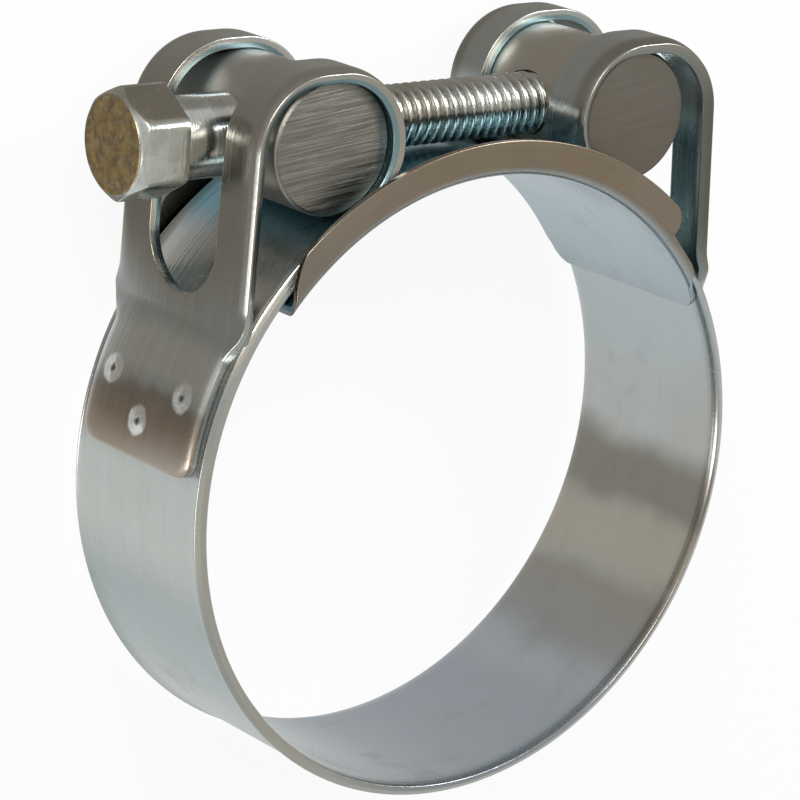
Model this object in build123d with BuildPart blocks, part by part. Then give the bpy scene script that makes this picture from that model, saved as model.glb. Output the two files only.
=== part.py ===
"""Bolt hose clamp: one rolled steel band with two looped ends, a bridge plate inside the gap,
two cross barrels, a spacer tube and a hexagon bolt. Millimetres.

Frame: Z is the axis of the hose, X runs along the bolt from its head to its tip, and Y points
from the centre of the hose towards the bolt. The origin is the centre of the hose, half way
across the band. Angles along the band are counted from +Y.
"""

import math
import os

from build123d import *

# Hose and band
bridge_bore_radius = 39.0
bridge_thickness = 0.8
band_thickness = 1.5
band_width = 27.5
lip_width = 2.4
lip_rise = 0.6

# Loops round the barrels
barrel_angle = 27.9
barrel_diameter = 16.8
barrel_length = 23.6
barrel_chamfer = 0.4
loop_clearance = 0.05
neck_min_length = 1.9
loop_slack = 2.5
leg_slant = 2.4
fold_radius = 2.0

# Slots that the bolt passes through, and the leg's bright metal below them
slot_width = 14.0
slot_above_fold = 2.4

# Tails folded back on the band and spot-welded to it
tail_width = 23.0
tail_end_angle = 83.3
tail_corner_radius = 2.5
weld_pair_angle = 70.8
weld_single_angle = 77.1
weld_spacing = 14.8
weld_radius = 1.7
weld_depth = 0.35

# Bridge plate, with a flange up each side of the gap
flange_height = 4.6
flange_bend_radius = 0.8
flange_side_clearance = 0.25
flange_corner_radius = 2.5
flange_end_angle = 44.5
curl_height = 1.4
tongue_end_angle = 62.5
tongue_corner_radius = 2.6
curl_to_corner = 0.5
bridge_free_end = 30.2
free_end_overcut = 1.0
bolt_over_bridge = 0.2
seat_clearance = 0.02

# Bolt
thread_diameter = 7.94
bolt_length = 76.2
tip_chamfer = 1.1
head_across_flats = 12.7
head_height = 6.9
head_face_radius = 5.9
head_chamfer_height = 1.3
head_turn = 28.0

# Spacer tube
spacer_diameter = 10.2
spacer_length = 9.4
spacer_chamfer = 0.3
spacer_bore_clearance = 0.08

# Holes in the barrels
plain_hole_clearance = 0.08
nut_thread_clearance = 0.05
nut_countersink_depth = 1.1
spot_face_clearance = 0.3
spot_face_depth = 1.1

# Worked out: band and loops
band_bore_radius = bridge_bore_radius + bridge_thickness + seat_clearance
band_outer_radius = band_bore_radius + band_thickness
tail_outer_radius = band_outer_radius + band_thickness
barrel_radius = barrel_diameter / 2
loop_inner_radius = barrel_radius + loop_clearance
loop_outer_radius = loop_inner_radius + band_thickness
shank_radius = thread_diameter / 2
neck_reach = band_bore_radius + loop_outer_radius
barrel_reach = math.sqrt(neck_reach**2 + neck_min_length**2)
barrel_x = barrel_reach * math.sin(math.radians(barrel_angle))

# The barrels lie as near the ring as the shortest straight neck lets them, but the bolt never
# comes nearer to the bridge than its clearance.
height_over_bridge = bridge_bore_radius + bridge_thickness + bolt_over_bridge + shank_radius
height_over_neck = barrel_reach * math.cos(math.radians(barrel_angle))
bolt_height = max(height_over_bridge, height_over_neck)
neck_length = math.sqrt(barrel_x**2 + bolt_height**2 - neck_reach**2)
touch_angle = math.degrees(math.atan2(barrel_x, bolt_height) + math.atan2(neck_length, neck_reach))
crown_height = bolt_height + loop_outer_radius
lip_angle = 2 * math.atan(lip_rise / lip_width)
lip_radius = lip_width / math.sin(lip_angle)

# Worked out: the straight leg and its fold. The fold's centre lies on a line beside the leg,
# as far from the hose's centre as the tail's face and the fold's radius together.
slant = math.radians(leg_slant)
leg_down = Vector(math.sin(slant), -math.cos(slant))
leg_out = Vector(math.cos(slant), math.sin(slant))
leg_centre = Vector(barrel_x + loop_slack, bolt_height)
leg_start = leg_centre + leg_out * loop_outer_radius
fold_line = leg_start + leg_out * fold_radius
fold_reach = tail_outer_radius + fold_radius
along_leg = fold_line.dot(leg_down)
leg_length = -along_leg - math.sqrt(along_leg**2 - fold_line.dot(fold_line) + fold_reach**2)
leg_end = leg_start + leg_down * leg_length
fold_centre = fold_line + leg_down * leg_length
fold_angle = math.degrees(math.atan2(fold_centre.X, fold_centre.Y))
fold_turn = 90 - leg_slant - fold_angle

# Worked out: slots
slot_radius = slot_width / 2
slot_bottom = leg_end.Y + slot_above_fold
slot_reach = crown_height
leg_slot_x = leg_centre.X + loop_inner_radius * leg_out.X - loop_clearance

# Worked out: spot welds, each a shallow cap of a ball, two side by side and one below them
weld_ball_radius = (weld_radius**2 + weld_depth**2) / (2 * weld_depth)
weld_places = (
    (weld_pair_angle, weld_spacing / 2),
    (weld_pair_angle, -weld_spacing / 2),
    (weld_single_angle, 0),
)

# Worked out: bolt, spacer and holes
spot_face_x = -barrel_x - barrel_radius + spot_face_depth
spacer_start_x = spot_face_x - seat_clearance
head_seat_x = spacer_start_x - spacer_length - seat_clearance
head_end_x = head_seat_x - head_height
head_corner_radius = head_across_flats / 2 / math.cos(math.radians(30))
nut_hole_radius = shank_radius + nut_thread_clearance

# Worked out: bridge
plate_top = bridge_bore_radius + bridge_thickness
flange_root = band_width / 2 + flange_side_clearance
flange_inner = flange_root + flange_bend_radius
flange_outer = flange_inner + bridge_thickness
flange_top = bridge_bore_radius + flange_height
curl_top = bridge_bore_radius + curl_height
tongue_flat = tongue_corner_radius + curl_to_corner
curl_end_angle = tongue_end_angle - math.degrees(tongue_flat / bridge_bore_radius)
free_end_angle = math.degrees(math.asin(bridge_free_end / bridge_bore_radius)) + free_end_overcut


def on_arc(radius, angle):
    """The point at an angle from +Y, towards +X, on a circle about the hose's centre."""
    turn = math.radians(angle)
    return Vector(math.sin(turn), math.cos(turn)) * radius


def across_strip(point, towards_barrel, along_strip):
    """The plane across the strip, through a point of its hose face."""
    return Plane(origin=point, x_dir=towards_barrel, z_dir=along_strip)


def radial_plane(angle):
    """The plane through Z at an angle along the band: X away from the hose, Y along Z."""
    return Plane(origin=(0, 0, 0), x_dir=on_arc(1, angle), z_dir=on_arc(1, angle + 90))


# The band's section: flat in the middle, with both edges rolled away from the hose. Its X
# points from the hose face towards the barrel, and its Y across the band.
strip_edge = band_width / 2 - lip_width
with BuildSketch() as strip:
    with BuildLine():
        for side in (1, -1):
            lip_centre = (lip_radius, side * strip_edge)
            lip_sweep = -side * math.degrees(lip_angle)
            hose_side = CenterArc(lip_centre, lip_radius, 180, lip_sweep)
            barrel_side = CenterArc(lip_centre, lip_radius - band_thickness, 180, lip_sweep)
            Line(hose_side @ 1, barrel_side @ 1)
        Line((0, -strip_edge), (0, strip_edge))
        Line((band_thickness, -strip_edge), (band_thickness, strip_edge))
    make_face()

with BuildPart() as band:
    # Half of the ring, from its lowest point up to the neck, and the straight neck
    with BuildSketch(across_strip((0, -band_bore_radius), (0, -1), (1, 0))):
        add(strip.sketch)
    revolve(axis=Axis.Z, revolution_arc=180 - touch_angle)
    touch_point = on_arc(band_bore_radius, touch_angle)
    neck_side = on_arc(1, touch_angle)
    neck_along = on_arc(1, touch_angle - 90)
    with BuildSketch(across_strip(touch_point, neck_side, neck_along)):
        add(strip.sketch)
    extrude(amount=neck_length)

    # The loop's inner side, bent back over the barrel to its crown
    with BuildSketch(across_strip(touch_point + neck_along * neck_length, neck_side, neck_along)):
        add(strip.sketch)
    revolve(axis=Axis((barrel_x, bolt_height, 0), (0, 0, 1)), revolution_arc=touch_angle - 180)

    # The crown's flat stretch and the bend down into the leg
    with BuildSketch(across_strip((barrel_x, crown_height), (0, -1), (1, 0))):
        add(strip.sketch)
    extrude(amount=loop_slack)
    with BuildSketch(across_strip((leg_centre.X, crown_height), (0, -1), (1, 0))):
        add(strip.sketch)
    revolve(axis=Axis((leg_centre.X, leg_centre.Y, 0), (0, 0, 1)), revolution_arc=leg_slant - 90)

    # The straight leg
    with BuildSketch(across_strip(leg_start, leg_out * -1, leg_down)):
        add(strip.sketch)
    extrude(amount=leg_length)

    # The fold at the foot of the leg and the tail that lies on the band
    with BuildSketch(across_strip(leg_end, leg_out * -1, leg_down)):
        with Locations((band_thickness / 2, 0)):
            Rectangle(band_thickness, tail_width)
    revolve(axis=Axis((fold_centre.X, fold_centre.Y, 0), (0, 0, 1)), revolution_arc=fold_turn)
    with BuildSketch(Plane.XY.offset(-tail_width / 2)):
        with BuildLine():
            tail_arc = tail_end_angle - fold_angle
            tail_face = CenterArc((0, 0), tail_outer_radius, 90 - tail_end_angle, tail_arc)
            tail_seat = CenterArc((0, 0), band_outer_radius, 90 - tail_end_angle, tail_arc)
            Line(tail_face @ 0, tail_seat @ 0)
            Line(tail_face @ 1, tail_seat @ 1)
        make_face()
    extrude(amount=tail_width)
    tail_end = on_arc((tail_outer_radius + band_outer_radius) / 2, tail_end_angle)
    tail_corners = [Vector(tail_end.X, tail_end.Y, side * tail_width / 2) for side in (1, -1)]
    fillet([band.edges().sort_by_distance(corner)[0] for corner in tail_corners], tail_corner_radius)

    # The slot in the leg, round at its foot
    with BuildSketch(Plane.YZ.offset(leg_slot_x)):
        with Locations((slot_bottom + slot_radius, 0)):
            Circle(slot_radius)
            Rectangle(slot_reach, slot_width, align=(Align.MIN, Align.CENTER))
    extrude(amount=slot_reach, mode=Mode.SUBTRACT)

    # The slot in the inner side, round at the bolt, and its opening over the crown
    with BuildSketch(Plane.YZ):
        with Locations((bolt_height, 0)):
            Circle(slot_radius)
    extrude(amount=barrel_x, mode=Mode.SUBTRACT)
    with BuildSketch(Plane.YZ):
        with Locations((bolt_height, 0)):
            Rectangle(slot_reach, slot_width, align=(Align.MIN, Align.CENTER))
    extrude(amount=leg_slot_x, mode=Mode.SUBTRACT)

    # The shallow round dents of the spot welds
    for angle, offset in weld_places:
        centre = on_arc(tail_outer_radius - weld_depth + weld_ball_radius, angle)
        with Locations((centre.X, centre.Y, offset)):
            Sphere(weld_ball_radius, mode=Mode.SUBTRACT)

    mirror(about=Plane.YZ)
band.part.label = "band"

with BuildPart() as bridge:
    # The section across the gap: a plate that lies under the band, a quarter bend up each
    # side and a flange on it
    with BuildSketch(radial_plane(tongue_end_angle)):
        with BuildLine():
            for side in (1, -1):
                bend_centre = (plate_top + flange_bend_radius, side * flange_root)
                inside = CenterArc(bend_centre, flange_bend_radius, 180, -side * 90)
                outside = CenterArc(bend_centre, flange_outer - flange_root, 180, -side * 90)
                Polyline(inside @ 1, (flange_top, side * flange_inner),
                         (flange_top, side * flange_outer), outside @ 1)
            Line((plate_top, -flange_root), (plate_top, flange_root))
            Line((bridge_bore_radius, -flange_root), (bridge_bore_radius, flange_root))
        make_face()
    revolve(axis=Axis.Z, revolution_arc=tongue_end_angle + free_end_angle)

    # The free end, cut square to the bolt
    with BuildSketch(Plane.XY):
        with Locations((-bridge_free_end, 0)):
            Rectangle(flange_top, flange_top * 2, align=(Align.MAX, Align.CENTER))
    extrude(amount=flange_outer, both=True, mode=Mode.SUBTRACT)

    # The flange stops where the band's loop folds back; only a low curl goes on from there
    with BuildSketch(radial_plane(flange_end_angle)):
        with Locations((curl_top, 0)):
            Rectangle(flange_height, flange_outer * 2, align=(Align.MIN, Align.CENTER))
    revolve(axis=Axis.Z, revolution_arc=flange_end_angle - tongue_end_angle, mode=Mode.SUBTRACT)

    # Past the curl the tongue is flat
    with BuildSketch(radial_plane(curl_end_angle)):
        Rectangle(flange_top, flange_outer * 2, align=(Align.MIN, Align.CENTER))
        Rectangle(flange_top, flange_root * 2, align=(Align.MIN, Align.CENTER), mode=Mode.SUBTRACT)
    revolve(axis=Axis.Z, revolution_arc=curl_end_angle - tongue_end_angle, mode=Mode.SUBTRACT)

    # Rounded corners: both ends of each flange, and the tongue's end
    free_end_y = math.sqrt(flange_top**2 - bridge_free_end**2)
    flange_end = on_arc(flange_top, flange_end_angle)
    flange_corners = [
        Vector(x, y, side * (flange_inner + flange_outer) / 2)
        for x, y in ((-bridge_free_end, free_end_y), (flange_end.X, flange_end.Y))
        for side in (1, -1)
    ]
    fillet([bridge.edges().sort_by_distance(corner)[0] for corner in flange_corners], flange_corner_radius)
    tongue_end = on_arc((bridge_bore_radius + plate_top) / 2, tongue_end_angle)
    tongue_corners = [Vector(tongue_end.X, tongue_end.Y, side * flange_root) for side in (1, -1)]
    fillet([bridge.edges().sort_by_distance(corner)[0] for corner in tongue_corners], tongue_corner_radius)
bridge.part.label = "bridge"

with BuildPart() as plain_barrel:
    with BuildSketch(Plane.XY.offset(-barrel_length / 2)):
        with Locations((-barrel_x, bolt_height)):
            Circle(barrel_radius)
    extrude(amount=barrel_length)
    chamfer(plain_barrel.edges().filter_by(GeomType.CIRCLE), barrel_chamfer)

    # The spot face that seats the spacer, and the clearance hole for the bolt
    with BuildSketch(Plane.YZ.offset(spot_face_x)):
        with Locations((bolt_height, 0)):
            Circle(spacer_diameter / 2 + spot_face_clearance)
    extrude(amount=-barrel_radius, mode=Mode.SUBTRACT)
    with BuildSketch(Plane.YZ.offset(-barrel_x)):
        with Locations((bolt_height, 0)):
            Circle(shank_radius + plain_hole_clearance)
    extrude(amount=barrel_radius, both=True, mode=Mode.SUBTRACT)
plain_barrel.part.label = "plain_barrel"

with BuildPart() as threaded_barrel:
    with BuildSketch(Plane.XY.offset(-barrel_length / 2)):
        with Locations((barrel_x, bolt_height)):
            Circle(barrel_radius)
    extrude(amount=barrel_length)
    chamfer(threaded_barrel.edges().filter_by(GeomType.CIRCLE), barrel_chamfer)

    # The tapped hole, with its mouth countersunk on the side that the bolt enters
    hole_mouth = Plane(origin=(barrel_x - barrel_radius, bolt_height, 0), z_dir=(-1, 0, 0))
    with Locations(hole_mouth):
        CounterSinkHole(nut_hole_radius, nut_hole_radius + nut_countersink_depth, counter_sink_angle=90)
threaded_barrel.part.label = "threaded_barrel"

with BuildPart() as spacer:
    with BuildSketch(Plane.YZ.offset(spacer_start_x)):
        with Locations((bolt_height, 0)):
            Circle(spacer_diameter / 2)
            Circle(shank_radius + spacer_bore_clearance, mode=Mode.SUBTRACT)
    extrude(amount=-spacer_length)
    outer_rims = spacer.edges().filter_by(GeomType.CIRCLE).group_by(SortBy.RADIUS)[-1]
    chamfer(outer_rims, spacer_chamfer)
spacer.part.label = "spacer"

with BuildPart() as bolt:
    with BuildSketch(Plane.YZ.offset(head_end_x)):
        with Locations((bolt_height, 0)):
            RegularPolygon(head_across_flats / 2, 6, major_radius=False, rotation=90 - head_turn)
    extrude(amount=head_height)

    # The head's chamfer is the cone that leaves a round face and bevelled corners
    with BuildSketch(Plane.XY):
        with BuildLine():
            cone_slope = head_chamfer_height / (head_corner_radius - head_face_radius)
            cone_reach = head_corner_radius + head_chamfer_height
            cone_end_x = head_end_x + cone_slope * (cone_reach - head_face_radius)
            Polyline((head_end_x, bolt_height), (head_end_x, bolt_height + head_face_radius),
                     (cone_end_x, bolt_height + cone_reach), (head_seat_x, bolt_height + cone_reach),
                     (head_seat_x, bolt_height), close=True)
        make_face()
    revolve(axis=Axis((0, bolt_height, 0), (1, 0, 0)), mode=Mode.INTERSECT)

    # The shank, as thick as the thread's crests
    with BuildSketch(Plane.YZ.offset(head_seat_x)):
        with Locations((bolt_height, 0)):
            Circle(shank_radius)
    extrude(amount=bolt_length)
    tip_rim = bolt.edges().filter_by(GeomType.CIRCLE).sort_by(Axis.X)[-1]
    chamfer(tip_rim, tip_chamfer)
bolt.part.label = "bolt"

os.makedirs("parts", exist_ok=True)
export_step(band.part, "parts/band.step")
export_step(bridge.part, "parts/bridge.step")
export_step(plain_barrel.part, "parts/plain_barrel.step")
export_step(threaded_barrel.part, "parts/threaded_barrel.step")
export_step(spacer.part, "parts/spacer.step")
export_step(bolt.part, "parts/bolt.step")
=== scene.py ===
"""Looks of the bolt hose clamp: the strip, bridge, barrels, spacer and bolt as smooth meshes
with procedural steel finishes, in a white studio with soft lights.

Everything is in metres in the row frame: Z is the axis of the hose, X runs along the bolt from
its head to its tip, and Y points from the centre of the hose towards the bolt.
"""
import cmath
import logging
import math
from dataclasses import dataclass
from enum import Enum
from typing import Callable, Sequence, Union

import bmesh
import bpy
import numpy as np
from bpy.types import Material, Mesh, Node, NodeInputs, NodeOutputs, NodeSocket, NodeTree, Object
from mathutils import Matrix, Vector


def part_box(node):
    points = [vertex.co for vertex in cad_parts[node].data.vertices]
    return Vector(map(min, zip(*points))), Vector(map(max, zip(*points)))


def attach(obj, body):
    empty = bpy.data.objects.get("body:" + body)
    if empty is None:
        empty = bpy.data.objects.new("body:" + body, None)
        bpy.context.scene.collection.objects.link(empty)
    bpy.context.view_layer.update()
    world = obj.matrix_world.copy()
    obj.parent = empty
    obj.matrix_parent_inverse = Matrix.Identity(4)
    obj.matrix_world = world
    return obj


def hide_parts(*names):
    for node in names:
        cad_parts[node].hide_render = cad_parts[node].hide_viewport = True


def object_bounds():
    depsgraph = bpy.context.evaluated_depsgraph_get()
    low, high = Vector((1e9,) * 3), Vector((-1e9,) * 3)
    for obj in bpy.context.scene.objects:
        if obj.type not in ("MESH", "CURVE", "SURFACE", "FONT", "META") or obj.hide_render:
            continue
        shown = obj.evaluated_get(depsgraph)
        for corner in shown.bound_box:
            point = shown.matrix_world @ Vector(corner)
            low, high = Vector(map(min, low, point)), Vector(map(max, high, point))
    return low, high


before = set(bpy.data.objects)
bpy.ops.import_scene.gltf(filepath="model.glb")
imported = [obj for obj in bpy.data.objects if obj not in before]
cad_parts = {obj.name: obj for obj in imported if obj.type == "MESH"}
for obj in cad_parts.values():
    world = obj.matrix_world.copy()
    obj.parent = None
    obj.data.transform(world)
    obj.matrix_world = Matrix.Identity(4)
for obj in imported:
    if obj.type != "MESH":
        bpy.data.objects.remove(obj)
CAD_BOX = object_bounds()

logging.basicConfig(level=logging.INFO, format="%(message)s")
log = logging.getLogger("clamp")

Array = np.ndarray
Change = Callable[[Array], Array]
Colour = tuple[float, float, float, float]
Face = tuple[int, ...]
Profile = list[tuple[float, float]]
Value = Union[NodeSocket, float, Colour]

MM = 0.001
QUARTER = math.pi / 2
STRIP_MAP = "strip_map"
FLIP_Z = np.array([1.0, 1.0, -1.0])
FLIP_ACROSS = np.array([1.0, -1.0, 1.0])
WHITE = (1.0, 1.0, 1.0, 1.0)
PATCH_SHIFT = (0.37, 0.11, 0.23)
SAW_TURN = (0.0, 0.0, math.radians(-6.0))
WELD_FACE_DEPTH = 0.7 * MM
FLAT_ANGLE = math.radians(30)


class Side(Enum):
    """Which side of the clamp a lug is on, as the sign of its X."""

    HEAD = -1
    TIP = 1


def node_box(name: str) -> tuple[Array, Array]:
    """The lowest and highest corners of a CAD node, in metres."""
    low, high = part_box(name)
    return np.array(low, dtype=float), np.array(high, dtype=float)


@dataclass(frozen=True)
class ClampSizes:
    """The clamp's sizes in metres, read from the CAD boxes where they show there.

    X and Y are those of the row frame, and angles along the band are from +Y.
    """

    barrel_low, barrel_high = node_box("threaded_barrel")
    spacer_low, spacer_high = node_box("spacer")
    bolt_low, bolt_high = node_box("bolt")

    bridge_radius: float = 39.0 * MM
    bridge_thickness: float = 0.8 * MM
    band_radius: float = 39.82 * MM
    strip_thickness: float = 1.5 * MM
    lip_radius: float = 5.1 * MM
    lip_width: float = 2.4 * MM
    neck_length: float = 1.9 * MM
    crown_length: float = 2.5 * MM
    leg_slant: float = math.radians(2.4)
    fold_radius: float = 2.0 * MM
    slot_radius: float = 7.0 * MM
    slot_above_fold: float = 2.4 * MM
    tail_half_width: float = 11.5 * MM
    tail_end_angle: float = math.radians(83.3)
    tail_corner: float = 2.5 * MM
    weld_pair_angle: float = math.radians(70.8)
    weld_single_angle: float = math.radians(77.1)
    weld_spacing: float = 14.8 * MM
    weld_radius: float = 1.7 * MM
    flange_bend: float = 1.6 * MM
    flange_end_angle: float = math.radians(44.5)
    flange_corner: float = 2.5 * MM
    curl_height: float = 1.4 * MM
    curl_end_angle: float = math.radians(57.95)
    tongue_end_angle: float = math.radians(62.5)
    tongue_corner: float = 2.6 * MM
    bridge_free_end: float = 30.2 * MM
    thread_pitch: float = 25.4 / 18 * MM
    shank_radius: float = 3.97 * MM
    head_inradius: float = 12.7 * MM / 2
    head_face_radius: float = 5.9 * MM
    head_chamfer: float = 1.3 * MM
    head_turn: float = math.radians(28.0)
    tip_chamfer: float = 1.1 * MM

    barrel_x: float = float(barrel_low[0] + barrel_high[0]) / 2
    barrel_radius: float = float(barrel_high[0] - barrel_low[0]) / 2
    barrel_half_length: float = float(barrel_high[2])
    bolt_height: float = float(barrel_low[1] + barrel_high[1]) / 2
    spacer_start: float = float(spacer_low[0])
    spacer_end: float = float(spacer_high[0])
    spacer_radius: float = float(spacer_high[2])
    head_end: float = float(bolt_low[0])
    head_seat: float = spacer_start - 0.02 * MM
    head_corner_radius: float = head_inradius / math.cos(FLAT_ANGLE)
    tip_end: float = float(bolt_high[0])
    loop_radius: float = barrel_radius + 0.05 * MM + strip_thickness
    touch_angle: float = (math.atan2(barrel_x, bolt_height)
                          + math.atan2(neck_length, band_radius + loop_radius))
    strip_flat: float = float(node_box("band")[1][2]) - lip_width
    lip_angle: float = math.asin(lip_width / lip_radius)
    tail_radius: float = band_radius + 2 * strip_thickness
    flange_root: float = float(node_box("bridge")[1][2]) - flange_bend
    flange_top: float = float(node_box("bridge")[1][1])


SIZES = ClampSizes()


def smoothstep(value: Array, low: float, high: float) -> Array:
    """Eases from 0 at the low mark to 1 at the high one: three squares less two cubes."""
    share = np.clip((value - low) / (high - low), 0.0, 1.0)
    return share * share * (3.0 - 2.0 * share)


def corner_inset(distance: Array, radius: float) -> Array:
    """How far a rounded corner lies inside the square one.

    The inset is the radius less the square root of the squared radius less the squared
    remaining distance to the round part's start, and zero past the radius.

    Args:
        distance: Distance from the end of the piece.
        radius: The corner's radius.

    Returns:
        The inset.
    """
    rest = np.clip(radius - distance, 0.0, radius)
    return radius - np.sqrt(np.maximum(radius * radius - rest * rest, 0.0))


def ordered(parts: Sequence[Array], digits: int, least: float, end: float) -> Array:
    """Joins values in order, without those too close together, up to an exact end.

    Args:
        parts: The values.
        digits: To how many places they are rounded.
        least: The smallest step that is kept.
        end: The last value.

    Returns:
        The values in order.
    """
    merged = np.unique(np.round(np.concatenate(parts), digits))
    merged = merged[np.concatenate([[True], np.diff(merged) > least])]
    merged[-1] = end
    return merged


def new_object(name: str, data: bpy.types.ID) -> Object:
    """Links a mesh, lamp or camera to the scene at the origin.

    Args:
        name: The object's name.
        data: Its mesh, light or camera.

    Returns:
        The new object.
    """
    made = bpy.data.objects.new(name, data)
    bpy.context.scene.collection.objects.link(made)
    return made


def mesh_from_arrays(name: str, points: Array, faces: Sequence[Face], strip: Array | None = None) -> Mesh:
    """Builds a smooth mesh from points and faces, drops what has no area and turns faces outward.

    Args:
        name: The mesh's name.
        points: Array of points, in metres.
        faces: Point indices of the faces.
        strip: For each point, how far along, across and deep in the sheet it is.

    Returns:
        The mesh.
    """
    mesh = bpy.data.meshes.new(name)
    mesh.from_pydata(points.tolist(), [], faces)
    if strip is not None:
        attribute = mesh.attributes.new(STRIP_MAP, "FLOAT_VECTOR", "POINT")
        attribute.data.foreach_set("vector", strip.astype(np.float32).ravel())
    work = bmesh.new()
    work.from_mesh(mesh)
    bmesh.ops.remove_doubles(work, verts=work.verts, dist=1e-7)
    bmesh.ops.dissolve_degenerate(work, edges=work.edges, dist=1e-8)
    bmesh.ops.recalc_face_normals(work, faces=work.faces)
    work.to_mesh(mesh)
    work.free()
    mesh.shade_smooth()
    return mesh


def grid_faces(rows: int, columns: int, closed: bool = False, start: int = 0) -> list[Face]:
    """Quads of a grid of points stored row by row.

    Args:
        rows: Number of rows.
        columns: Number of columns.
        closed: Whether the last column joins the first.
        start: Index of the first point.

    Returns:
        The quads' point indices.
    """
    row, column = np.meshgrid(np.arange(rows - 1), np.arange(columns - (not closed)), indexing="ij")
    here, following = row * columns, (column + 1) % columns
    below = here + columns
    quads = np.stack([here + column, here + following, below + following, below + column], axis=-1)
    return [tuple(quad) for quad in (quads.reshape(-1, 4) + start).tolist()]


@dataclass(frozen=True)
class SheetRows:
    """Rows of a sheet-metal form across its length; each array has a value for each row.

    A row has a place in the XY plane, a direction from the hose face into the sheet, how far
    the sheet, its slot and its flat part reach from the middle, how its edge is rolled, how far
    it is from the sheet's end and past the slot's middle, and how far along the sheet it is.
    """

    place: Array
    inward: Array
    outer: Array
    slot: Array
    flat: Array
    curl: Array
    end_distance: Array
    slot_along: Array
    along: Array


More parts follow.
